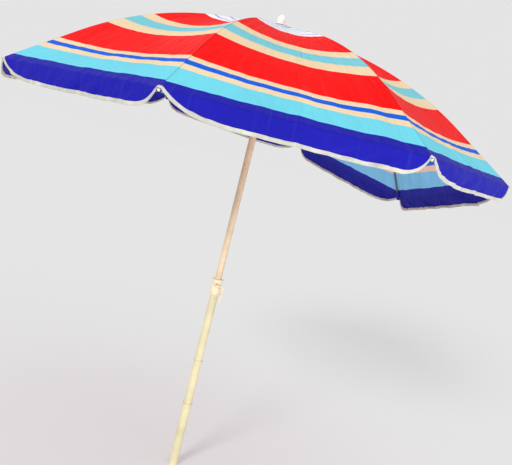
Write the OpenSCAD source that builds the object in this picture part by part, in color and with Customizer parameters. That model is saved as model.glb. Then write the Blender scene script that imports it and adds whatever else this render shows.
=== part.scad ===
// Beach umbrella: eight-rib canopy that folds on a sliding runner, on a telescoping and plug-together pole.
// +Z runs up the pole and the origin is the centre of the foot end.

/* [Canopy and ribs] */
// Rib length from hinge to tip
rib_len = 950; // [760:10:1140]
// Height of the rib hinges above the foot
crown_z = 1769; // [1500:10:2200]
// Rib diameter
rib_d = 6; // [4:0.5:9]
// Slope of the rib's straight inner part below level
rib_slope = 8; // [4:0.5:14]
// Length of the rib's straight inner part
rib_straight = 160; // [100:5:200]
// Bend of the rib's middle third
inner_bend = 9; // [6:1:12]
// Length of that bend
inner_len = 205; // [190:5:260]
// Bend of the rib's outer third
outer_bend = 16; // [10:1:20]
// Length of the outer bend
outer_len = 340; // [280:10:400]
// Extra outer bend of the rib that droops
droop_bend = 24; // [0:1:24]
// Outer bend taken off the rib that rides high
lift_bend = 10; // [0:1:12]
// Angle through which the ribs fold down
fold_a = 58; // [50:1:58]
// Cloth solid thickness
cloth_t = 1; // [0.8:0.2:3]
// Drop of the valance lobes below the rib tips
valance = 54; // [30:2:80]
// Sag of the cloth half-way between two ribs
sag = 24; // [0:2:40]

/* [Stretchers] */
// Distance of the stretcher joint along the rib
joint_at = 345; // [280:5:420]
// Stretcher length between hinge centres
stretcher_len = 400; // [380:5:460]
// Stretcher diameter
stretcher_d = 5; // [4:0.5:8]
// Drop of the stretcher hinge below the rib's axis
joint_drop = 9.5; // [9.5:0.5:14]

/* [Hubs] */
// Radius of the hinge circle on the crown and the runner
hinge_r = 24; // [22:1:34]
// Hinge pin diameter
pin_d = 2.6; // [2:0.2:3]
// Thickness of the flat hinge tongues
tongue_t = 2.4; // [2:0.2:3]
// Outer radius of the crown and runner flanges
flange_r = 31; // [30:1:42]
// Length of the runner's sleeve below its hinges
runner_len = 56; // [40:2:90]
// Finial diameter
finial_d = 29; // [24:1:44]
// Finial height above its disc
finial_h = 28; // [20:1:40]
// Canopy disc diameter
disc_d = 49; // [46:1:60]

/* [Pole] */
// Upper pole outside diameter
pole_d = 26; // [22:1:30]
// Upper pole wall
pole_wall = 1.2; // [1:0.1:2]
// Height of the upper pole's lower end
pole_end_z = 690; // [640:5:705]
// Space between the upper pole and the top lower tube, on the radius
tube_gap = 2.05; // [1.5:0.05:4]
// Lower tube wall
tube_wall = 1.2; // [1:0.1:1.6]
// Height of the bottom tube's rim
joint1_z = 292; // [220:2:320]
// Height of the middle tube's rim
joint2_z = 488; // [420:2:520]
// Length that each tube plugs into the next
plug_len = 60; // [40:2:80]

/* [Clamp] */
// Height of the clamp collar's lower lip
collar_z = 776; // [720:2:790]
// Clamp collar height
collar_h = 62; // [60:2:100]
// Clamp collar wall round the top lower tube
collar_wall = 3.75; // [3:0.25:8]
// Clamp screw diameter
screw_d = 6; // [5:0.5:8]
// Length of the J handle
handle_len = 62; // [40:2:80]

/* [Fits] */
// Radial clearance of running fits
run_c = 0.05; // [0.02:0.01:0.1]
// Side clearance of the tongues in their slots
slot_c = 0.3; // [0.2:0.05:0.5]
// Gap between soft wedges on different ribs
cloth_gap = 0.5; // [0.4:0.1:1]

/* [Hidden] */
rib_count = 8;
step_a = 360 / rib_count;
first_a = step_a / 2;
round_fn = 48;
over = 1;

pin_r = pin_d / 2;
tongue_r = 4.4;
hub_sleeve_r = 17;
hinge_h = 6;
disc_gap = 12;
disc_h = 6;
lip_t = 3;
lip_w = 1.5;

bell_h = 20;
bell_w = 1.8;

// Radii of the nested lower tubes
pole_r = pole_d / 2;
top_in = pole_r + tube_gap;
top_r = top_in + tube_wall;
middle_in = top_r + run_c;
middle_r = middle_in + tube_wall;
bottom_in = middle_r + run_c;
bottom_r = bottom_in + tube_wall;
pole_in = pole_r - pole_wall;
tube_top_z = collar_z + collar_h * 0.36;
screw_z = collar_z + collar_h * 0.66;
collar_r = top_r + collar_wall;

// Rib profile, in the plane of one rib: x outwards from the pole's axis, y upwards from the hinge
cap_len = 6;
inner_r = inner_len / inner_bend * 180 / PI;
mid_slope = rib_slope + inner_bend;
function last_bend(i) = outer_bend + (i == 1 ? droop_bend : i == 3 ? -lift_bend : i == 4 ? -lift_bend / 2 : 0);
function outer_r(i) = outer_len / last_bend(i) * 180 / PI;
function tip_slope(i) = mid_slope + last_bend(i);
function dir(a) = [cos(a), -sin(a)];
// End of an arc of radius r that starts at p, sloping down by a, and bends down by b more
function arc_end(p, r, a, b) = p + r * [sin(a + b) - sin(a), cos(a + b) - cos(a)];
inner_start = [hinge_r, 0] + rib_straight * dir(rib_slope);
outer_start = arc_end(inner_start, inner_r, rib_slope, inner_bend);
function rib_pt(i, s) =
    let (s2 = s - rib_straight, s3 = s2 - inner_len, s4 = s3 - outer_len)
    s2 < 0 ? [hinge_r, 0] + s * dir(rib_slope) :
    s3 < 0 ? arc_end(inner_start, inner_r, rib_slope, s2 / inner_len * inner_bend) :
    s4 < 0 ? arc_end(outer_start, outer_r(i), mid_slope, s3 / outer_len * last_bend(i)) :
    arc_end(outer_start, outer_r(i), mid_slope, last_bend(i)) + s4 * dir(tip_slope(i));

// Stretcher hinge and linkage angles, measured from straight down
joint_a = rib_slope + (joint_at - rib_straight) / inner_len * inner_bend;
joint_pt = rib_pt(1, joint_at) - joint_drop * [sin(joint_a), cos(joint_a)];
crank = norm(joint_pt - [hinge_r, 0]);
open_a = atan2(joint_pt[0] - hinge_r, -joint_pt[1]);
lean_open = asin(crank * sin(open_a) / stretcher_len);
runner_drop = -joint_pt[1] + stretcher_len * cos(lean_open);
runner_z = crown_z - runner_drop;
lean_closed = asin(crank * sin(open_a - fold_a) / stretcher_len);
echo(open_a = open_a, lean_open = lean_open, lean_closed = lean_closed, runner_z = runner_z,
     stretcher_turn = open_a + lean_open - (open_a - fold_a) - lean_closed,
     runner_travel = crank * cos(open_a - fold_a) + stretcher_len * cos(lean_closed) - runner_drop,
     joint = joint_pt, tips = [for (i = [1:3]) rib_pt(i, rib_len)]);

module at_rib(i) rotate([0, 0, first_a + (i - 1) * step_a]) translate([0, 0, crown_z]) children();
// Lies along +X in the rib's plane, tilted down by a
module tilt(p, a) translate([p[0], 0, p[1]]) rotate([0, a, 0]) children();
module rod(d, l) rotate([0, 90, 0]) cylinder(d = d, h = l, $fn = 24);
module across(r, w) rotate([90, 0, 0]) cylinder(r = r, h = w, center = true, $fn = 24);
module ring(r_out, r_in, h) difference() {
    cylinder(r = r_out, h = h, $fn = round_fn);
    translate([0, 0, -over]) cylinder(r = r_in, h = h + 2 * over, $fn = round_fn);
}
// Flat tongue with an eye at the origin, running out along +X to l
module tongue(l) {
    across(tongue_r, tongue_t);
    translate([0, -tongue_t / 2, -tongue_r * 0.7]) cube([l, tongue_t, tongue_r * 1.4]);
}

/* Pole */
// Swaged bell round the open end of a tube
module bell(r, r_in, z) rotate_extrude($fn = round_fn) polygon([
    [r_in, z - bell_h], [r, z - bell_h], [r + bell_w, z - bell_h * 0.3], [r + bell_w, z], [r_in, z]]);
module foot_plug() color("ivory") {
    cylinder(r = bottom_in, h = 20, $fn = round_fn);
}
module tube_bottom() color("beige") {
    ring(bottom_r, bottom_in, joint1_z);
    bell(bottom_r, bottom_in, joint1_z);
    translate([0, 0, joint1_z - plug_len - 6]) ring(bottom_in + tube_wall / 2, middle_in - 3, 6);
}
module tube_middle() color("beige") {
    translate([0, 0, joint1_z - plug_len]) ring(middle_r, middle_in, joint2_z - joint1_z + plug_len);
    bell(middle_r, middle_in, joint2_z);
    translate([0, 0, joint2_z - plug_len - 6]) ring(middle_in + tube_wall / 2, top_in - 2, 6);
}
module tube_top() color("beige")
    translate([0, 0, joint2_z - plug_len]) ring(top_r, top_in, tube_top_z - joint2_z + plug_len);
module upper_pole() color("ivory")
    translate([0, 0, pole_end_z]) ring(pole_r, pole_in, crown_z - hinge_h - pole_end_z);
module pole_guide() color("white") translate([0, 0, pole_end_z - 4]) {
    ring(top_in - run_c, pole_in - 3, 4);
    translate([0, 0, 4]) ring(pole_in, pole_in - 3, 26);
}

/* Clamp */
pad_r = 5;
pad_t = 3;
pad_gap = 0.1;
boss_y = collar_r + 6;
module radial(y0) translate([0, -y0, screw_z]) rotate([90, 0, 0]) children();
module collar() color("ivory") difference() {
    union() {
        translate([0, 0, collar_z]) cylinder(r = collar_r, h = collar_h, $fn = round_fn);
        for (z = [collar_z, collar_z + collar_h - lip_t])
            translate([0, 0, z]) cylinder(r = collar_r + lip_w, h = lip_t, $fn = round_fn);
        radial(0) cylinder(r = 8, h = boss_y, $fn = round_fn);
    }
    translate([0, 0, collar_z - over]) cylinder(r = pole_r + run_c, h = collar_h + 2 * over, $fn = round_fn);
    translate([0, 0, collar_z - over]) cylinder(r = top_r, h = tube_top_z - collar_z + over, $fn = round_fn);
    radial(0) cylinder(r = pad_r + 0.2, h = pole_r + pad_gap + pad_t + 2.4, $fn = round_fn);
    radial(0) cylinder(r = screw_d / 2 + run_c, h = boss_y + over, $fn = round_fn);
}
module clamp_pad() color("white") radial(pole_r + pad_gap) cylinder(r = pad_r, h = pad_t, $fn = round_fn);
head_y = boss_y + 3;
module clamp_screw() color("silver") {
    radial(pole_r + pad_gap + pad_t) cylinder(d = screw_d, h = head_y - pole_r - pad_gap - pad_t, $fn = round_fn);
    radial(head_y) cylinder(r = 6.5, h = 3.5, $fn = round_fn);
}
// J handle: a rod that leaves the head sideways, runs down and hooks back
module screw_handle() color("ivory") translate([0, -head_y - 6.5, screw_z]) rotate([90, 0, 0]) {
    bend = 12;
    translate([0, 0, -3]) cylinder(r = 5, h = 6, $fn = round_fn);
    rotate([0, 90, 0]) cylinder(r = 2.6, h = bend, $fn = 24);
    translate([bend, -bend, 0]) rotate_extrude(angle = 90, $fn = 64) translate([bend, 0]) circle(r = 2.6, $fn = 24);
    translate([2 * bend, -bend, 0]) rotate([90, 0, 0]) cylinder(r = 2.6, h = handle_len - 2 * bend, $fn = 24);
    translate([bend, bend - handle_len, 0]) rotate([0, 0, -90])
        rotate_extrude(angle = 90, $fn = 64) translate([bend, 0]) circle(r = 2.6, $fn = 24);
    translate([bend, -handle_len, 0]) sphere(r = 2.6, $fn = 24);
}

/* Crown */
module slots(r_in, z0, h) for (i = [1:rib_count]) rotate([0, 0, first_a + (i - 1) * step_a])
    translate([r_in, -tongue_t / 2 - slot_c, z0]) cube([flange_r - r_in + over, tongue_t + 2 * slot_c, h]);
module pin_holes(r) for (i = [1:rib_count]) rotate([0, 0, first_a + (i - 1) * step_a])
    translate([hinge_r, 0, 0]) across(r, 9);
module pins() intersection() {
    pin_holes(pin_r);
    cylinder(r = flange_r, h = 20, center = true, $fn = round_fn);
}
module crown_hub() color("ivory") translate([0, 0, crown_z]) difference() {
    union() {
        translate([0, 0, -hinge_h]) cylinder(r = flange_r, h = 2 * hinge_h, $fn = round_fn);
        translate([0, 0, -hinge_h - 14]) cylinder(r = hub_sleeve_r, h = 14, $fn = round_fn);
        translate([0, 0, -40]) cylinder(r = pole_in, h = 40, $fn = round_fn);
        cylinder(r = hub_sleeve_r, h = disc_gap, $fn = round_fn);
    }
    translate([0, 0, -hinge_h - 14 - over]) ring(pole_r, pole_in, 14 + over);
    slots(hub_sleeve_r + 1, -hinge_h - over, 2 * hinge_h + 2 * over);
    pin_holes(pin_r);
}
module crown_pins() color("silver") translate([0, 0, crown_z]) pins();
module canopy_disc() color("ivory") translate([0, 0, crown_z + disc_gap]) {
    rotate_extrude($fn = round_fn) polygon([[0, 0], [disc_d / 2, 0], [disc_d / 2, 2], [finial_d * 0.42, disc_h],
        [0, disc_h]]);
}
neck_a = 40;
function dome(a) = [cos(a) * finial_d / 2, finial_h * (0.42 + 0.58 * sin(a))];
module finial() color("ivory") translate([0, 0, crown_z + disc_gap + disc_h]) rotate_extrude($fn = round_fn)
    polygon(concat([[0, 0], [dome(-neck_a)[0], 0]], [for (a = [-neck_a:10:80]) dome(a)], [[0, finial_h]]));

/* Runner */
module runner() color("ivory") translate([0, 0, runner_z]) difference() {
    union() {
        translate([0, 0, -hinge_h]) cylinder(r = flange_r, h = 2 * hinge_h, $fn = round_fn);
        translate([0, 0, -runner_len]) cylinder(r = hub_sleeve_r, h = runner_len + hinge_h + 4, $fn = round_fn);
        translate([0, 0, -runner_len]) cylinder(r = hub_sleeve_r + 3, h = lip_t, $fn = round_fn);
    }
    translate([0, 0, -runner_len - over]) cylinder(r = pole_r + run_c, h = runner_len + 2 * hinge_h + 2 * over,
        $fn = round_fn);
    slots(hub_sleeve_r + 0.6, -hinge_h - over, 2 * hinge_h + 2 * over);
    pin_holes(pin_r);
}
module runner_pins() color("silver") translate([0, 0, runner_z]) pins();

/* Ribs and stretchers */
cheek_t = 1.5;
cheek_gap = tongue_t + 0.6;
cheek_w = 1.7 * tongue_r;
rib_sides = 12;
bend_step = 24;
rib_start = 12;
// Stations of the rib's rod: its ends, and close steps where it bends
function stations() = concat([rib_start, rib_straight / 2],
    [for (s = [rib_straight:bend_step:rib_straight + inner_len + outer_len]) s], [rib_len]);
function slope_at(i, s) =
    rib_slope + inner_bend * min(1, max(0, (s - rib_straight) / inner_len))
    + last_bend(i) * min(1, max(0, (s - rib_straight - inner_len) / outer_len));
module rib_rod(i) {
    st = stations();
    pts = [for (s = st, k = [0:rib_sides - 1])
        let (p = rib_pt(i, s), a = slope_at(i, s), b = 360 * k / rib_sides, u = rib_d / 2 * cos(b))
        [p[0] + u * sin(a), rib_d / 2 * sin(b), p[1] + u * cos(a)]];
    n = rib_sides;
    m = len(st) - 1;
    polyhedron(pts, concat([[for (k = [n - 1:-1:0]) k]], [[for (k = [0:n - 1]) m * n + k]],
        [for (j = [0:m - 1], k = [0:n - 1]) let (k2 = (k + 1) % n)
            [j * n + k, j * n + k2, (j + 1) * n + k2, (j + 1) * n + k]]));
}
module rib(i) color("gainsboro") at_rib(i) {
    difference() {
        tilt([hinge_r, 0], rib_slope) tongue(rib_start + 4);
        translate([hinge_r, 0, 0]) across(pin_r + run_c, tongue_t + over);
    }
    rib_rod(i);
    difference() {
        union() {
            tilt(rib_pt(i, joint_at), joint_a) translate([-9, 0, 0]) rod(rib_d + 2.4, 18);
            for (s = [-1, 1]) {
                translate([joint_pt[0], s * (cheek_gap + cheek_t) / 2, joint_pt[1]]) across(tongue_r, cheek_t);
                tilt(rib_pt(i, joint_at), joint_a) translate([-cheek_w / 2, s * (cheek_gap + cheek_t) / 2 - cheek_t / 2,
                    -joint_drop]) cube([cheek_w, cheek_t, joint_drop - 1]);
            }
        }
        translate([joint_pt[0], 0, joint_pt[1]]) across(pin_r, 12);
    }
}
module rivet(i) color("silver") at_rib(i) translate([joint_pt[0], 0, joint_pt[1]]) {
    across(pin_r, cheek_gap + 2 * cheek_t);
    for (s = [-1, 1]) translate([0, s * (cheek_gap / 2 + cheek_t + 0.6), 0]) across(2.6, 1.2);
}
module tip_cap(i) color("khaki") at_rib(i) tilt(rib_pt(i, rib_len - 12), tip_slope(i)) difference() {
    union() {
        rod(rib_d + 2.4, 12 + cap_len - 3);
        translate([12 + cap_len - 3, 0, 0]) sphere(d = rib_d + 2.4, $fn = 24);
    }
    translate([-over, 0, 0]) rod(rib_d, 12 + over);
}
// Stretcher, from its fork-held eye on the rib down to an open hook that rests on the runner's pin
module stretcher(i) color("gainsboro") at_rib(i) tilt(joint_pt, 90 + lean_open) difference() {
    union() {
        tongue(16);
        translate([12, 0, 0]) rod(stretcher_d, stretcher_len - 26);
        translate([stretcher_len, 0, 0]) mirror([1, 0, 0]) tongue(18);
    }
    across(pin_r + run_c, tongue_t + over);
    translate([stretcher_len, 0, 0]) {
        across(pin_r + run_c, tongue_t + over);
        rotate([90, 0, 0]) linear_extrude(tongue_t + over, center = true) hook_mouth();
    }
}
// Mouth through which the pin leaves the hook, between the two ways it moves at the ends of the fold
hook_back = 20;
hook_front = 95;
hook_far = 9;
module hook_mouth() {
    seat = pin_r + run_c;
    back = -[cos(hook_back), sin(hook_back)];
    front = -[cos(hook_front), sin(hook_front)];
    p = seat * [back[1], -back[0]];
    q = seat * [-front[1], front[0]];
    polygon([p, p + hook_far * back, [-hook_far, -3 * hook_far], [hook_far, -3 * hook_far],
             q + hook_far * front, q]);
}

/* Canopy */
rows = 12;
cols = 6;
hem_rows = 2;
apex_r = 21;
cloth_rise = 8.5;
cloth_past = 2;
function wrap(i) = (i + rib_count - 1) % rib_count + 1;
// Cloth point above rib i: t runs from 0 at the apex to 1 at the rib's tip
function over_rib(i, t) =
    let (s = max(apex_r - hinge_r, t * (rib_len + cloth_past)), q = slope_at(i, s), a = first_a + (i - 1) * step_a,
         p = rib_pt(i, s) + cloth_rise * (max(0, q - mid_slope) == 0 ? [0, 1] : [sin(q - mid_slope), cos(q - mid_slope)]))
    [p[0] * cos(a), p[0] * sin(a), crown_z + p[1]];
// Hem depth below the rib tips: s is 0 at a rib and 1 half-way to the next
function hem(s) = 0.5 + valance * (1 - pow(1 - s, 7));
function cloth_pt(i, t, s) =
    let (a = over_rib(i, t), b = over_rib(wrap(s < 0 ? i - 1 : i + 1), t),
         k = min(abs(s) / 2, (1 - cloth_gap / norm(b - a)) / 2))
    a + (b - a) * k - [0, 0, sag * sin(180 * t) * (1 - pow(1 - abs(s), 2))];
function outward(p) = [p[0], p[1], 0] / norm([p[0], p[1]]);
// One wedge of the canopy, from half-way to one neighbour to half-way to the other
module canopy(i) color("royalblue") {
    pts = [for (side = [0, 1], r = [0:rows + hem_rows], c = [-cols:cols])
        let (s = sign(c) * pow(abs(c) / cols, 1.4), p = cloth_pt(i, min(r / rows, 1), s))
        r <= rows ? p + [0, 0, side * cloth_t] :
            p + side * cloth_t * outward(p) - [0, 0, hem(abs(s)) * (r - rows) / hem_rows]];
    w = 2 * cols + 1;
    last = rows + hem_rows;
    n = (last + 1) * w;
    quads = concat(
        [for (r = [0:last - 1], c = [0:w - 2]) [r * w + c, r * w + c + 1, (r + 1) * w + c + 1, (r + 1) * w + c]],
        [for (r = [0:last - 1], c = [0:w - 2])
            [n + r * w + c, n + (r + 1) * w + c, n + (r + 1) * w + c + 1, n + r * w + c + 1]],
        [for (r = [0:last - 1]) [r * w, (r + 1) * w, n + (r + 1) * w, n + r * w]],
        [for (r = [0:last - 1]) [r * w + w - 1, n + r * w + w - 1, n + (r + 1) * w + w - 1, (r + 1) * w + w - 1]],
        [for (c = [0:w - 2]) [c, n + c, n + c + 1, c + 1]],
        [for (c = [0:w - 2]) let (q = last * w + c) [q, q + 1, n + q + 1, n + q]]);
    polyhedron(pts, [for (q = quads, k = [2, 3]) [q[0], q[k - 1], q[k]]]);
}

foot_plug();
tube_bottom();
tube_middle();
tube_top();
collar();
clamp_pad();
clamp_screw();
screw_handle();
upper_pole();
pole_guide();
crown_hub();
crown_pins();
canopy_disc();
finial();
runner();
runner_pins();
for (i = [1:rib_count]) {
    rib(i);
    tip_cap(i);
    stretcher(i);
    rivet(i);
    canopy(i);
}
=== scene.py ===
import math

import bpy
from mathutils import Matrix, Vector, noise


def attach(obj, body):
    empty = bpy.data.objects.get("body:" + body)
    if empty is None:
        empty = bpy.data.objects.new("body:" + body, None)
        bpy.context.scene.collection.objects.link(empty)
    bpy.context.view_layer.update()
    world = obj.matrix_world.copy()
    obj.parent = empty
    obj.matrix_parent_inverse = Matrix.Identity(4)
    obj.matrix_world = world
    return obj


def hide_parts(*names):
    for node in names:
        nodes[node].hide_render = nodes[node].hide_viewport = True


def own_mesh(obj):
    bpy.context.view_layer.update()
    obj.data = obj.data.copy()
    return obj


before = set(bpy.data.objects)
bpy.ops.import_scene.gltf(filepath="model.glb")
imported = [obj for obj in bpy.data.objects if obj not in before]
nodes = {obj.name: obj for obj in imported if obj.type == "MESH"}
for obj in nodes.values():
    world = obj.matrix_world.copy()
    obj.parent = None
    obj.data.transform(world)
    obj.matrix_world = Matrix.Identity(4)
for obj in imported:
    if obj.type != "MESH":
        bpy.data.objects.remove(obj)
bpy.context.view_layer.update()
print("frame loaded:", len(nodes), "nodes")

# The canopy frame's own dimensions, in metres and degrees, as the ribs are bent
ribShape = {
    "count": 8, "firstAngle": 22.5, "hingeRadius": 0.024, "hingeHeight": 1.769,
    "slope": 8.0, "straight": 0.160, "innerBend": 9.0, "innerLength": 0.205,
    "outerBend": 16.0, "outerLength": 0.340, "length": 0.950, "extraBend": {1: 24.0, 3: -10.0, 4: -5.0},
}


def turnDown(p, radius, a, b):
    # end of an arc that starts at p sloping down by a and bends down by b more
    a, b = math.radians(a), math.radians(a + b)
    return (p[0] + radius * (math.sin(b) - math.sin(a)), p[1] + radius * (math.cos(b) - math.cos(a)))


def ribProfile(i, s):
    # distance from the pole's axis, height above the hinges and slope, at s along rib i
    r = ribShape
    bend = r["outerBend"] + r["extraBend"].get(i, 0.0)
    innerRadius = r["innerLength"] / math.radians(r["innerBend"])
    outerRadius = r["outerLength"] / math.radians(bend)
    a = math.radians(r["slope"])
    middle = r["slope"] + r["innerBend"]
    reach = min(s, r["straight"])
    p = (r["hingeRadius"] + reach * math.cos(a), -reach * math.sin(a))
    if s <= r["straight"]:
        return p[0], p[1], r["slope"]
    u = min(1.0, (s - r["straight"]) / r["innerLength"])
    p = turnDown(p, innerRadius, r["slope"], u * r["innerBend"])
    if u < 1.0:
        return p[0], p[1], r["slope"] + u * r["innerBend"]
    u = min(1.0, (s - r["straight"] - r["innerLength"]) / r["outerLength"])
    p = turnDown(p, outerRadius, middle, u * bend)
    tail = max(0.0, s - r["straight"] - r["innerLength"] - r["outerLength"])
    end = math.radians(middle + u * bend)
    return p[0] + tail * math.cos(end), p[1] - tail * math.sin(end), middle + u * bend


def ribAngle(i):
    return math.radians(ribShape["firstAngle"] + (i - 1) * 360 / ribShape["count"])


def nextRib(i, step):
    return (i - 1 + step) % ribShape["count"] + 1


def smooth(x):
    x = max(0.0, min(1.0, x))
    return x * x * (3 - 2 * x)


# Small helpers for building and finishing
def link(name, data):
    obj = bpy.data.objects.new(name, data)
    bpy.context.scene.collection.objects.link(obj)
    return obj


def selectOnly(obj):
    bpy.ops.object.select_all(action="DESELECT")
    obj.select_set(True)
    bpy.context.view_layer.objects.active = obj


def applyModifiers(obj):
    selectOnly(obj)
    for modifier in list(obj.modifiers):
        bpy.ops.object.modifier_apply(modifier=modifier.name)


# Materials
def newMaterial(name, rough, specular=0.5, sheen=0.0, metal=0.0):
    mat = bpy.data.materials.new(name)
    mat.use_nodes = True
    shader = mat.node_tree.nodes["Principled BSDF"]
    shader.inputs["Roughness"].default_value = rough
    shader.inputs["Specular IOR Level"].default_value = specular
    shader.inputs["Sheen Weight"].default_value = sheen
    shader.inputs["Metallic"].default_value = metal
    return mat, mat.node_tree, shader


def addNode(tree, kind, **values):
    node = tree.nodes.new(kind)
    for key, value in values.items():
        if key in node.inputs:
            node.inputs[key].default_value = value
        else:
            setattr(node, key, value)
    return node


def mathNode(tree, operation, a, b=None):
    node = addNode(tree, "ShaderNodeMath", operation=operation)
    for socket, value in zip(node.inputs, (a, b)):
        if value is None:
            continue
        if isinstance(value, (int, float)):
            socket.default_value = value
        else:
            tree.links.new(value, socket)
    return node.outputs[0]


def ramp(tree, source, stops, constant=False):
    node = addNode(tree, "ShaderNodeValToRGB")
    node.color_ramp.interpolation = "CONSTANT" if constant else "LINEAR"
    elements = node.color_ramp.elements
    while len(elements) > 1:
        elements.remove(elements[-1])
    elements[0].position, elements[0].color = stops[0][0], (*stops[0][1], 1)
    for place, colour in stops[1:]:
        elements.new(place).color = (*colour, 1)
    tree.links.new(source, node.inputs[0])
    return node.outputs[0]


def bump(tree, shader, height, strength, distance):
    node = addNode(tree, "ShaderNodeBump", Strength=strength, Distance=distance)
    tree.links.new(height, node.inputs["Height"])
    tree.links.new(node.outputs[0], shader.inputs["Normal"])
    return node


def linear(r, g, b):
    # display colour, 0 to 255, as the shader's linear colour
    return tuple((c / 255 / 12.92) if c <= 10 else ((c / 255 + 0.055) / 1.055) ** 2.4 for c in (r, g, b))


def mixColour(tree, blend, factor, a, b):
    node = addNode(tree, "ShaderNodeMix", data_type="RGBA", blend_type=blend)
    for socket, value in ((node.inputs[0], factor), (node.inputs[6], a), (node.inputs[7], b)):
        if isinstance(value, (int, float)):
            socket.default_value = value
        elif isinstance(value, tuple):
            socket.default_value = (*value, 1)
        else:
            tree.links.new(value, socket)
    return node.outputs[2]


# where each stripe starts, as a share of the rib's length from the crown, and its display colours
stripes = {
    "starts": [
        (0.0, "white"), (0.045, "ringBlue"), (0.066, "white"), (0.100, "paleCyan"), (0.155, "white"),
        (0.180, "violet"), (0.192, "white"), (0.240, "violet"), (0.252, "white"), (0.285, "red"),
        (0.470, "cream"), (0.518, "teal"), (0.580, "cream"), (0.634, "red"), (0.805, "cream"),
        (0.827, "blue"), (0.853, "cream"), (0.881, "cyan"), (0.960, "navy"),
    ],
    "outside": {
        "white": (250, 248, 250), "ringBlue": (95, 100, 245), "paleCyan": (215, 240, 252),
        "violet": (150, 145, 250), "red": (250, 0, 0), "cream": (243, 216, 176), "teal": (124, 206, 220),
        "blue": (0, 96, 226), "cyan": (114, 217, 236), "navy": (30, 28, 168),
    },
    # inside colours: the print seen from below, paled and tinted to stand in for sunlight coming through
    # the cloth (painted transmitted light)
    "inside": {
        "white": (244, 236, 236), "ringBlue": (110, 110, 230), "paleCyan": (205, 228, 245),
        "violet": (160, 150, 235), "red": (235, 60, 50), "cream": (250, 212, 196), "teal": (128, 200, 232),
        "blue": (40, 116, 232), "cyan": (134, 205, 246), "navy": (40, 42, 160),
    },
    "top": 1.2,
}

# how many repeats a metre each texture of the cloth has, and how deep its relief is in metres
clothPrint = {
    "threads": 400.0, "fade": 5.0, "slubs": 140.0, "creaseHighlights": 60.0, "creaseHighlightStretch": 0.05,
    "crumples": 22.0, "crumpleStretch": 0.30, "crumpleRelief": 0.014, "threadRelief": 0.0005,
    "seamUnits": 100.0,
}


def clothMaterial(name, side):
    # printed plain-weave cloth: stripes and seams follow UV "stripe", thread and fade follow UV "metres",
    # painted crease highlights and crumples follow UV "panel"
    q = clothPrint
    mat, tree, shader = newMaterial(name, 0.6, 0.07, sheen=0.01)
    stripe = addNode(tree, "ShaderNodeUVMap", uv_map="stripe")
    metres = addNode(tree, "ShaderNodeUVMap", uv_map="metres")
    panel = addNode(tree, "ShaderNodeUVMap", uv_map="panel")
    split = addNode(tree, "ShaderNodeSeparateXYZ")
    tree.links.new(stripe.outputs[0], split.inputs[0])
    place = mathNode(tree, "DIVIDE", split.outputs[1], stripes["top"])
    stops = [(start / stripes["top"], linear(*stripes[side][word])) for start, word in stripes["starts"]]
    printed = ramp(tree, place, stops, constant=True)
    # thread: two crossed sets of bands
    threads = []
    for direction in ("X", "Y"):
        wave = addNode(tree, "ShaderNodeTexWave", wave_type="BANDS", bands_direction=direction,
                       Scale=q["threads"], Distortion=0.4)
        wave.inputs["Detail"].default_value = 1.0
        tree.links.new(metres.outputs[0], wave.inputs["Vector"])
        threads.append(wave.outputs["Fac"])
    weave = mathNode(tree, "MULTIPLY", threads[0], threads[1])
    # slubs and sun fade
    fade = addNode(tree, "ShaderNodeTexNoise", Scale=q["fade"], Detail=3.0)
    slub = addNode(tree, "ShaderNodeTexNoise", Scale=q["slubs"], Detail=2.0)
    for texture in (fade, slub):
        tree.links.new(metres.outputs[0], texture.inputs["Vector"])
    shade = ramp(tree, fade.outputs["Fac"], [(0.3, (0.93, 0.93, 0.94)), (0.7, (1.0, 1.0, 1.0))])
    grain = ramp(tree, slub.outputs["Fac"], [(0.35, (0.94, 0.94, 0.94)), (0.65, (1.0, 1.0, 1.0))])
    colour = mixColour(tree, "MULTIPLY", 1.0, printed, shade)
    colour = mixColour(tree, "MULTIPLY", 0.8, colour, grain)
    # faint lighter streaks down the panels: painted highlights along the cloth's creases
    squeeze = addNode(tree, "ShaderNodeMapping")
    squeeze.inputs["Scale"].default_value = (1.0, q["creaseHighlightStretch"], 1.0)
    tree.links.new(panel.outputs[0], squeeze.inputs[0])
    creaseHighlight = addNode(tree, "ShaderNodeTexNoise", Scale=q["creaseHighlights"], Detail=3.0)
    tree.links.new(squeeze.outputs[0], creaseHighlight.inputs["Vector"])
    streak = ramp(tree, creaseHighlight.outputs["Fac"],
                  [(0.58, (0.0, 0.0, 0.0)), (0.67, (0.009, 0.009, 0.009)), (0.74, (0.004, 0.004, 0.004))])
    # soft crumples, longest down the cloth
    loosen = addNode(tree, "ShaderNodeMapping")
    loosen.inputs["Scale"].default_value = (1.0, q["crumpleStretch"], 1.0)
    tree.links.new(panel.outputs[0], loosen.inputs[0])
    crumple = addNode(tree, "ShaderNodeTexNoise", Scale=q["crumples"], Detail=3.0, Roughness=0.45,
                      Distortion=0.6)
    tree.links.new(loosen.outputs[0], crumple.inputs["Vector"])
    # screen the painted crease highlights over the colour
    colour = mixColour(tree, "SCREEN", 1.0, colour, streak)
    # dark line of the seam over the rib, where UV "stripe" is zero across
    across = mathNode(tree, "ABSOLUTE", split.outputs[0])
    seam = ramp(tree, mathNode(tree, "MULTIPLY", across, q["seamUnits"]),
                [(0.0, (0.50, 0.50, 0.52)), (0.10, (0.78, 0.78, 0.80)), (0.26, (1.0, 1.0, 1.0))])
    colour = mixColour(tree, "MULTIPLY", 1.0, colour, seam)
    tree.links.new(colour, shader.inputs["Base Color"])
    relief = mathNode(tree, "ADD", mathNode(tree, "MULTIPLY", weave, 0.5),
                      mathNode(tree, "MULTIPLY", slub.outputs["Fac"], 0.8))
    loose = bump(tree, shader, crumple.outputs["Fac"], 0.6, q["crumpleRelief"])
    thread = bump(tree, shader, relief, 0.35, q["threadRelief"])
    tree.links.new(loose.outputs[0], thread.inputs["Normal"])
    return mat


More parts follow.
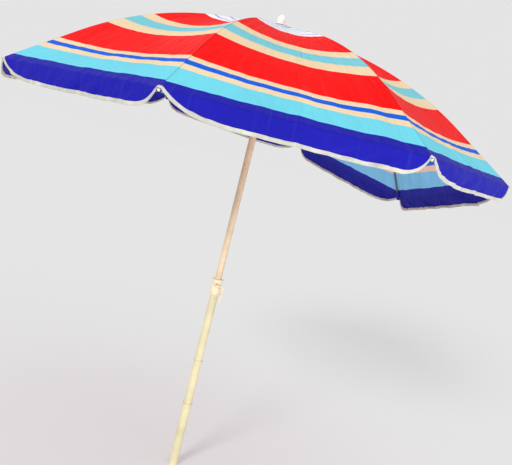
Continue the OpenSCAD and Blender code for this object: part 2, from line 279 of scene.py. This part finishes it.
def bindingMaterial():
    # ivory bias tape with a diagonal twill and soft blotches
    mat, tree, shader = newMaterial("hemTape", 0.78, 0.2, sheen=0.15)
    metres = addNode(tree, "ShaderNodeUVMap", uv_map="metres")
    twill = addNode(tree, "ShaderNodeTexWave", wave_type="BANDS", bands_direction="DIAGONAL", Scale=330.0)
    blotch = addNode(tree, "ShaderNodeTexNoise", Scale=30.0, Detail=3.0)
    for texture in (twill, blotch):
        tree.links.new(metres.outputs[0], texture.inputs["Vector"])
    tone = ramp(tree, blotch.outputs["Fac"], [(0.3, linear(186, 183, 172)), (0.7, linear(214, 212, 201))])
    tree.links.new(tone, shader.inputs["Base Color"])
    bump(tree, shader, twill.outputs["Fac"], 0.4, 0.0004)
    return mat


def paintMaterial(name, colour, dark, rough):
    # enamel on tube: faint orange peel, handling scuffs along the tube and slightly dirty patches
    mat, tree, shader = newMaterial(name, rough, 0.5)
    coord = addNode(tree, "ShaderNodeTexCoord")
    stretch = addNode(tree, "ShaderNodeMapping")
    stretch.inputs["Scale"].default_value = (1.0, 1.0, 0.08)
    tree.links.new(coord.outputs["Object"], stretch.inputs[0])
    scuff = addNode(tree, "ShaderNodeTexNoise", Scale=260.0, Detail=4.0)
    patch = addNode(tree, "ShaderNodeTexNoise", Scale=9.0, Detail=3.0)
    peel = addNode(tree, "ShaderNodeTexNoise", Scale=600.0, Detail=1.0)
    tree.links.new(stretch.outputs[0], scuff.inputs["Vector"])
    tree.links.new(coord.outputs["Object"], patch.inputs["Vector"])
    tree.links.new(coord.outputs["Object"], peel.inputs["Vector"])
    tone = ramp(tree, patch.outputs["Fac"], [(0.35, linear(*dark)), (0.6, linear(*colour))])
    rub = ramp(tree, scuff.outputs["Fac"], [(0.30, (0.86, 0.85, 0.83)), (0.40, (1.0, 1.0, 1.0))])
    tree.links.new(mixColour(tree, "MULTIPLY", 0.7, tone, rub), shader.inputs["Base Color"])
    gloss = ramp(tree, scuff.outputs["Fac"], [(0.3, (rough + 0.2,) * 3), (0.6, (rough,) * 3)])
    tree.links.new(gloss, shader.inputs["Roughness"])
    bump(tree, shader, peel.outputs["Fac"], 0.12, 0.0003)
    return mat


def plasticMaterial(name, colour, dark, rough):
    # moulded plastic: soft mottling and a fine moulded grain
    mat, tree, shader = newMaterial(name, rough, 0.45)
    coord = addNode(tree, "ShaderNodeTexCoord")
    mottle = addNode(tree, "ShaderNodeTexNoise", Scale=45.0, Detail=3.0)
    grain = addNode(tree, "ShaderNodeTexNoise", Scale=900.0, Detail=2.0)
    for texture in (mottle, grain):
        tree.links.new(coord.outputs["Object"], texture.inputs["Vector"])
    tone = ramp(tree, mottle.outputs["Fac"], [(0.35, linear(*dark)), (0.65, linear(*colour))])
    tree.links.new(tone, shader.inputs["Base Color"])
    gloss = ramp(tree, mottle.outputs["Fac"], [(0.3, (rough + 0.12,) * 3), (0.7, (rough,) * 3)])
    tree.links.new(gloss, shader.inputs["Roughness"])
    bump(tree, shader, grain.outputs["Fac"], 0.15, 0.0002)
    return mat


def steelMaterial(name, colour, rough):
    # drawn or turned steel: streaks and dull spots
    mat, tree, shader = newMaterial(name, rough, 0.5, metal=1.0)
    coord = addNode(tree, "ShaderNodeTexCoord")
    streak = addNode(tree, "ShaderNodeTexNoise", Scale=180.0, Detail=4.0)
    spot = addNode(tree, "ShaderNodeTexNoise", Scale=35.0, Detail=3.0)
    for texture in (streak, spot):
        tree.links.new(coord.outputs["Object"], texture.inputs["Vector"])
    bright = linear(*colour)
    dull = tuple(c * 0.7 for c in bright)
    tone = ramp(tree, spot.outputs["Fac"], [(0.35, dull), (0.6, bright)])
    tree.links.new(tone, shader.inputs["Base Color"])
    gloss = ramp(tree, streak.outputs["Fac"], [(0.3, (rough + 0.2,) * 3), (0.7, (rough,) * 3)])
    tree.links.new(gloss, shader.inputs["Roughness"])
    bump(tree, shader, streak.outputs["Fac"], 0.2, 0.0002)
    return mat


clothOutside = clothMaterial("stripedClothOutside", "outside")
# the inside faces carry the painted light that comes through the cloth
clothInsidePaintedGlow = clothMaterial("stripedClothInsidePaintedGlow", "inside")
hemTape = bindingMaterial()
lowerPaint = paintMaterial("creamEnamel", (222, 213, 174), (206, 197, 158), 0.42)
# the upper pole's enamel is pinker than the lower tubes': painted reflection of the red canopy above it
upperPaint = paintMaterial("paleEnamelPaintedRedReflection", (226, 206, 172), (212, 188, 156), 0.40)
ivoryPlastic = plasticMaterial("ivoryPlastic", (240, 224, 190), (228, 208, 170), 0.42)
crownPlastic = plasticMaterial("crownPlastic", (252, 242, 236), (244, 230, 222), 0.45)
whitePlastic = plasticMaterial("whitePlastic", (236, 232, 224), (224, 220, 210), 0.5)
tipPlastic = plasticMaterial("tipPlastic", (242, 234, 186), (232, 222, 170), 0.45)
ribPaint = paintMaterial("greyRibEnamel", (92, 90, 92), (74, 72, 74), 0.38)
zincSteel = steelMaterial("zincSteel", (190, 190, 188), 0.32)
print("materials made")

# the finish of each frame part, by its name or by its name without the number
nodeFinish = {
    "tube_bottom": lowerPaint, "tube_middle": lowerPaint, "tube_top": lowerPaint, "upper_pole": upperPaint,
    "foot_plug": whitePlastic, "pole_guide": whitePlastic, "clamp_pad": whitePlastic,
    "collar": ivoryPlastic, "screw_handle": ivoryPlastic, "crown_hub": ivoryPlastic, "runner": ivoryPlastic,
    "canopy_disc": crownPlastic, "finial": crownPlastic, "clamp_screw": zincSteel,
    "crown_pins": zincSteel, "runner_pins": zincSteel,
    "rib_": ribPaint, "stretcher_": ribPaint, "rivet_": zincSteel, "tip_cap_": tipPlastic,
}
for name, obj in nodes.items():
    finish = nodeFinish.get(name) or nodeFinish.get(name.rstrip("0123456789"))
    if finish:
        for slot in obj.material_slots:
            slot.material = finish
print("frame parts finished")

# Canopy cloth, in metres; the rates are the noise's repeats across, down and from panel to panel
canopyCloth = {
    "rows": 84, "columns": 40, "hemRows": 14, "gather": 1.5, "apexRadius": 0.0185, "pastTip": 0.004,
    "rise": 0.0062, "crownRise": 0.0085, "crownFrom": 0.03, "crownFade": 0.12,
    "discRise": 0.0108, "discFrom": -0.004, "discFade": 0.03, "sag": 0.024, "thickness": 0.0008,
    "ruckle": 0.0026, "wideRuckle": (9.0, 2.2, 7.3), "fineRuckle": (26.0, 3.0, 3.1), "fineShare": 0.5,
    "crownSlack": 0.35, "slackFrom": 0.55, "slackFade": 0.4,
    "valance": 0.054, "hemStep": 0.0012, "cutGentle": 5.5, "cutSquare": 15.0, "pocketHalf": 0.014,
    "flutter": 0.0130, "flutterRate": (17.0, 5.7, 0.8), "pleat": 0.0060, "pleatRate": (31.0, 2.9, 4.1),
    "lean": 0.10, "curl": 0.14, "looseDepth": 0.045, "looseWidth": 0.25,
    "probe": 0.01, "ribEdge": 1e-4, "besideSeam": 4, "hemStripe": 0.06,
    "stripeJog": 0.0036, "jogMean": 0.7, "jogSwing": 0.3, "jogRate": 1.9, "jogWidth": 0.9,
    "clothShift": 0.37, "hemWidth": 0.70, "keep": 0.24,
}


def liftAboveRib(s):
    # the cloth clears the rib, and near the crown the hub and the disc too
    c = canopyCloth
    past = smooth((s - c["crownFrom"]) / c["crownFade"])
    lift = c["crownRise"] + (c["rise"] - c["crownRise"]) * past
    return lift + (c["discRise"] - c["crownRise"]) * (1 - smooth((s - c["discFrom"]) / c["discFade"]))


def overRib(i, t):
    # the cloth's outer face over rib i, with t from 0 at the crown to 1 just past the tip
    c = canopyCloth
    start = c["apexRadius"] - ribShape["hingeRadius"]
    s = start + t * (ribShape["length"] + c["pastTip"] - start)
    x, z, slope = ribProfile(i, max(s, 0.0))
    if s < 0:
        x, z = x + s, z - s * math.sin(math.radians(ribShape["slope"]))
    # past the middle of the rib the lift leans out with it, so that steep ends keep their clearance
    lean = math.radians(max(0.0, slope - ribShape["slope"] - ribShape["innerBend"]))
    x, z = x + liftAboveRib(s) * math.sin(lean), z + liftAboveRib(s) * math.cos(lean)
    a = ribAngle(i)
    return Vector((x * math.cos(a), x * math.sin(a), ribShape["hingeHeight"] + z))


def panelPoint(panel, t, k):
    # panel lies between rib number panel (k = 0) and the next rib (k = 1)
    c = canopyCloth
    a, b = overRib(panel, t), overRib(nextRib(panel, 1), t)
    p = a.lerp(b, k)
    near = 2 * min(k, 1 - k)
    drop = c["sag"] * math.sin(math.pi * min(t, 1.0)) * (1 - (1 - near) ** 2)
    # long soft ruckles that run down the panel and fan towards the rib tips
    wide, fine = c["wideRuckle"], c["fineRuckle"]
    fan = noise.noise(Vector((k * wide[0], t * wide[1], panel * wide[2])))
    fan += c["fineShare"] * noise.noise(Vector((k * fine[0], t * fine[1], panel * fine[2])))
    slack = c["crownSlack"]
    tight = smooth(near * 4) * (slack + (1 - slack) * smooth((t - c["slackFrom"]) / c["slackFade"]))
    return p - Vector((0, 0, drop)) + Vector((0, 0, c["ruckle"] * fan * tight * smooth(t * 5)))


def hemDepth(k):
    # each lobe falls gently at its first rib and is cut square to the second
    c = canopyCloth
    near = max(0.0, (2 * min(k, 1 - k) - c["pocketHalf"]) / (1 - c["pocketHalf"]))
    cut = c["cutGentle"] if k < 0.5 else c["cutSquare"]
    return c["hemStep"] + c["valance"] * (1 - (1 - near) ** cut)


def hemPoint(panel, k, v):
    # v runs from 0 at the line between the rib tips to 1 at the hem
    c = canopyCloth
    p = panelPoint(panel, 1.0, k)
    out = Vector((p.x, p.y, 0)).normalized()
    depth = hemDepth(k)
    lean = k + c["lean"] * v
    flutter, fold = c["flutterRate"], c["pleatRate"]
    wave = noise.noise(Vector((lean * flutter[0], panel * flutter[1], v * flutter[2])))
    pleat = noise.noise(Vector((lean * fold[0], panel * fold[1], fold[2] + v)))
    loose = v * smooth(depth / c["looseDepth"]) * smooth(2 * min(k, 1 - k) / c["looseWidth"])
    curl = c["curl"] * depth * math.sin(v * math.pi / 2)
    return p + out * (curl + loose * (c["flutter"] * wave + c["pleat"] * pleat)) - Vector((0, 0, depth * v))


def wedgePoint(i, row, s):
    # s runs from -1, half-way to the rib before, to 1, half-way to the rib after
    c = canopyCloth
    panel, k = (i, s / 2) if s >= 0 else (nextRib(i, -1), 1 + s / 2)
    if row <= c["rows"]:
        p = panelPoint(panel, row / c["rows"], k)
    else:
        p = hemPoint(panel, k, (row - c["rows"]) / c["hemRows"])
    return p


def acrossSteps():
    # closer columns near the rib, where the hem turns up to the tip
    n = canopyCloth["columns"]
    half = [(j / n) ** canopyCloth["gather"] for j in range(n + 1)]
    return [-h for h in reversed(half[1:])] + half


def slopeAt(i, row, s, back, ahead):
    # outward normal from the cloth's own directions, with one-sided steps where it folds
    c = canopyCloth
    last = c["rows"] + c["hemRows"]
    across = wedgePoint(i, row, s + ahead) - wedgePoint(i, row, s - back)
    down = wedgePoint(i, min(row + 1, last), s) - wedgePoint(i, max(row - 1, 0), s)
    return down.cross(across).normalized()


def makeWedge(i):
    # one rib's share of the cloth as a closed shell, out to the middle of the panel on either side:
    # outer grid, inner grid, then walls down the two sides and along the crown and the hem
    c = canopyCloth
    steps = acrossSteps()
    rows = c["rows"] + c["hemRows"]
    width, middle, step, edge = len(steps), len(steps) // 2, c["probe"], c["ribEdge"]
    grid = [[wedgePoint(i, row, s) for s in steps] for row in range(rows + 1)]
    normals = [[slopeAt(i, row, s, step, step) for s in steps] for row in range(rows + 1)]
    leftOfRib = [slopeAt(i, row, -edge, step, 0.0) for row in range(rows + 1)]
    rightOfRib = [slopeAt(i, row, edge, 0.0, step) for row in range(rows + 1)]
    inner = [[p - n * c["thickness"] for p, n in zip(line, ups)] for line, ups in zip(grid, normals)]
    count = width * (rows + 1)
    faces, kinds = [], []
    for r in range(rows):
        for j in range(width - 1):
            a, b = r * width + j, (r + 1) * width + j
            faces += [(a, b, b + 1, a + 1), (count + a, count + a + 1, count + b + 1, count + b)]
            kinds += ["out", "in"]
    for r in range(rows):
        for j in (0, width - 1):
            a, b = r * width + j, (r + 1) * width + j
            wall = (a, count + a, count + b, b)
            faces.append(wall if j == 0 else tuple(reversed(wall)))
            kinds.append("wall")
    for j in range(width - 1):
        for r in (0, rows):
            a = r * width + j
            wall = (a, a + 1, count + a + 1, count + a)
            faces.append(wall if r == 0 else tuple(reversed(wall)))
            kinds.append("wall")
    mesh = bpy.data.meshes.new(f"canopyCloth{i}")
    mesh.from_pydata([p for line in grid + inner for p in line], [], faces)
    mesh.materials.append(clothOutside)
    mesh.materials.append(clothInsidePaintedGlow)
    stripeMap = mesh.uv_layers.new(name="stripe")
    metreMap = mesh.uv_layers.new(name="metres")
    panelMap = mesh.uv_layers.new(name="panel")
    length, beside = [0.0], middle + c["besideSeam"]
    for row in range(rows):
        length.append(length[-1] + (grid[row + 1][beside] - grid[row][beside]).length)
    shades = []
    for polygon, kind in zip(mesh.polygons, kinds):
        polygon.use_smooth = True
        polygon.material_index = 0 if kind == "out" else 1
        columns = [mesh.loops[loop].vertex_index % count % width for loop in polygon.loop_indices]
        side = 1 if sum(columns) / len(columns) > middle else -1
        for loop in polygon.loop_indices:
            row, j = divmod(mesh.loops[loop].vertex_index % count, width)
            away = (grid[row][j] - grid[row][middle]).length * side
            t = min(row / c["rows"], 1.0) + max(0, row - c["rows"]) / c["hemRows"] * c["hemStripe"]
            # the two panels' stripes never meet exactly at the seam
            amount = c["jogMean"] + c["jogSwing"] * math.cos(i * c["jogRate"])
            jog = -c["stripeJog"] * side * amount * (1 - smooth(abs(steps[j]) / c["jogWidth"]))
            k = abs(steps[j]) / 2 if side > 0 else 1 - abs(steps[j]) / 2
            stripeMap.data[loop].uv = (away, t + jog)
            metreMap.data[loop].uv = (away + i * c["clothShift"], length[row])
            panelMap.data[loop].uv = ((i if side > 0 else nextRib(i, -1)) + c["hemWidth"] * k, length[row])
            up = (rightOfRib if side > 0 else leftOfRib)[row] if j == middle else normals[row][j]
            shades.append({"out": up, "in": -up, "wall": polygon.normal.copy()}[kind])
    piece = link(f"canopyCloth{i}", mesh)
    mesh.normals_split_custom_set(shades)
    area = sum(p.area for p, kind in zip(mesh.polygons, kinds) if kind == "out")
    return piece, area, steps


hemBinding = {
    "width": 0.0088, "lift": 0.0013, "past": 0.0012, "folds": 5, "tapeWidth": 0.018, "smoothAngle": 60,
}


def hemPlace(i, s, up):
    # the cloth's surface and outward normal at a height up from the hem
    c = canopyCloth
    k = s / 2 if s >= 0 else 1 + s / 2
    depth = hemDepth(k)
    if up <= depth:
        row = c["rows"] + c["hemRows"] * (1 - up / depth)
    else:
        row = c["rows"] * (1 - (up - depth) / ribShape["length"])
    return wedgePoint(i, row, s), slopeAt(i, row, s, c["probe"], c["probe"])


def makeBinding(i, steps):
    # bias tape folded over the hem, one closed section after another along it
    h = hemBinding
    rings = []
    for s in steps:
        outer, inner = [], []
        for fold in range(h["folds"]):
            place, normal = hemPlace(i, s, h["width"] * fold / (h["folds"] - 1))
            outer.append(place + normal * h["lift"])
            inner.append(place - normal * (h["lift"] + canopyCloth["thickness"]))
        down = (outer[0] - outer[1]).normalized()
        nose = (outer[0] + inner[0]) / 2 + down * h["past"]
        rings.append([nose] + outer + list(reversed(inner)))
    n = len(rings[0])
    points = [p for ring in rings for p in ring]
    faces = [(a * n + b, a * n + (b + 1) % n, (a + 1) * n + (b + 1) % n, (a + 1) * n + b)
             for a in range(len(rings) - 1) for b in range(n)]
    faces += [tuple(reversed(range(n))), tuple((len(rings) - 1) * n + b for b in range(n))]
    mesh = bpy.data.meshes.new(f"hemBinding{i}")
    mesh.from_pydata(points, [], faces)
    metreMap = mesh.uv_layers.new(name="metres")
    along = [0.0]
    for a in range(len(rings) - 1):
        along.append(along[-1] + (rings[a + 1][0] - rings[a][0]).length)
    for loop in mesh.loops:
        a, b = divmod(loop.vertex_index, n)
        metreMap.data[loop.index].uv = (along[a], b / n * h["tapeWidth"])
    mesh.materials.append(hemTape)
    piece = link(f"hemBinding{i}", mesh)
    selectOnly(piece)
    bpy.ops.object.mode_set(mode="EDIT")
    bpy.ops.mesh.select_all(action="SELECT")
    bpy.ops.mesh.normals_make_consistent(inside=False)
    bpy.ops.object.mode_set(mode="OBJECT")
    bpy.ops.object.shade_smooth_by_angle(angle=math.radians(h["smoothAngle"]))
    return piece


tipPocket = {
    "length": 0.034, "width": 0.017, "height": 0.0125, "back": 0.030, "taper": 0.12, "drop": 0.0005,
    "wall": 0.0007, "sides": 24, "cuts": 3, "stripePlace": (0.05, 0.98), "smoothAngle": 50,
}


def makeTipPocket(i):
    # small pouch of the hem's cloth sewn inside the corner, with the rib's end pushed into it
    t = tipPocket
    x, z, slope = ribProfile(i, ribShape["length"] - t["back"] + t["length"] / 2)
    bpy.ops.object.select_all(action="DESELECT")
    bpy.ops.mesh.primitive_cylinder_add(vertices=t["sides"], radius=0.5, depth=1.0, end_fill_type="NOTHING")
    piece = bpy.context.active_object
    piece.name = piece.data.name = f"tipPocket{i}"
    selectOnly(piece)
    bpy.ops.object.mode_set(mode="EDIT")
    bpy.ops.mesh.select_all(action="SELECT")
    bpy.ops.mesh.subdivide(number_cuts=t["cuts"])
    bpy.ops.object.mode_set(mode="OBJECT")
    for v in piece.data.vertices:
        taper = 1.0 - t["taper"] * (v.co.z + 0.5)
        v.co.x *= t["height"] * taper
        v.co.y *= t["width"] * taper
        v.co.z *= t["length"]
    tilt = Matrix.Rotation(math.radians(90 + slope), 4, "Y")
    a = ribAngle(i)
    turn = Matrix.Rotation(a, 4, "Z")
    place = Matrix.Translation((x * math.cos(a), x * math.sin(a), ribShape["hingeHeight"] + z - t["drop"]))
    piece.data.transform(place @ turn @ tilt)
    piece.data.materials.append(clothInsidePaintedGlow)
    # the pocket is all one stripe's colour, clear of the seam's dark line
    for kind in ("stripe", "metres", "panel"):
        layer = piece.data.uv_layers.new(name=kind)
        for loop in piece.data.loops:
            p = piece.data.vertices[loop.vertex_index].co
            spread = (t["stripePlace"][0] + p.x + p.y, p.z)
            layer.data[loop.index].uv = t["stripePlace"] if kind == "stripe" else spread
    wall = piece.modifiers.new("wall", "SOLIDIFY")
    wall.thickness = t["wall"]
    wall.offset = 0.0
    applyModifiers(piece)
    bpy.ops.object.shade_smooth_by_angle(angle=math.radians(t["smoothAngle"]))
    return piece


for i in range(1, ribShape["count"] + 1):
    cloth, area, steps = makeWedge(i)
    binding = makeBinding(i, steps)
    pocket = makeTipPocket(i)
    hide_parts(f"canopy_{i}")
    for piece in (cloth, binding, pocket):
        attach(piece, f"rib_{i}")
    for piece in (cloth, binding):
        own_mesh(piece)
print("canopy sewn")

# Camera, floor and light
cameraPlace = {
    "location": (-0.2892, -2.3441, 1.3398), "turn": (73.704, -13.425, -3.662),
    "lens": 42.78, "shift": (0.0832, 0.1708), "farthest": 200,
}
cameraData = bpy.data.cameras.new("camera")
camera = link("camera", cameraData)
camera.location = cameraPlace["location"]
camera.rotation_euler = [math.radians(a) for a in cameraPlace["turn"]]
cameraData.lens = cameraPlace["lens"]
cameraData.shift_x, cameraData.shift_y = cameraPlace["shift"]
cameraData.clip_end = cameraPlace["farthest"]
bpy.context.scene.camera = camera

studio = {
    "floorSize": 120.0, "floorHeight": -0.0005, "floorColour": (0.82, 0.82, 0.82),
    "skyColour": (1.0, 1.0, 1.0), "skyStrength": 0.78,
}
bpy.ops.object.select_all(action="DESELECT")
bpy.ops.mesh.primitive_plane_add(size=studio["floorSize"], location=(0, 0, studio["floorHeight"]))
floor = bpy.context.active_object
floor.name = "floor"
floorMaterial, _, floorShader = newMaterial("paleFloor", 0.9, 0.0)
floorShader.inputs["Base Color"].default_value = (*studio["floorColour"], 1)
floor.data.materials.append(floorMaterial)

world = bpy.data.worlds.new("studio")
bpy.context.scene.world = world
world.use_nodes = True
background = world.node_tree.nodes["Background"]
background.inputs["Color"].default_value = (*studio["skyColour"], 1)
background.inputs["Strength"].default_value = studio["skyStrength"]

# every lamp points at the canopy's crown; size is an angle for the sun and metres for the others
lampAim = Vector((0, 0, 1.72))
lamps = {
    "keyLamp": {"kind": "SUN", "place": (-1.7, -2.4, 2.9), "power": 1.5, "size": math.radians(16)},
    "sheenLamp": {
        "kind": "SPOT", "place": (-1.6, 4.4, 2.7), "power": 420, "size": 0.6, "cone": 26, "blend": 0.6,
    },
    "bounceLamp": {"kind": "AREA", "place": (1.3, -1.9, 0.2), "power": 34, "size": 1.6},
}
for name, lamp in lamps.items():
    data = bpy.data.lights.new(name, lamp["kind"])
    data.energy = lamp["power"]
    if lamp["kind"] == "SUN":
        data.angle = lamp["size"]
    elif lamp["kind"] == "AREA":
        data.size = lamp["size"]
    else:
        data.shadow_soft_size = lamp["size"]
        data.spot_size = math.radians(lamp["cone"])
        data.spot_blend = lamp["blend"]
    obj = link(name, data)
    obj.location = lamp["place"]
    obj.visible_camera = False
    aim = lampAim - Vector(lamp["place"])
    obj.rotation_euler = aim.to_track_quat("-Z", "Y").to_euler()
bpy.context.scene.view_settings.view_transform = "Standard"
print("camera and light set")
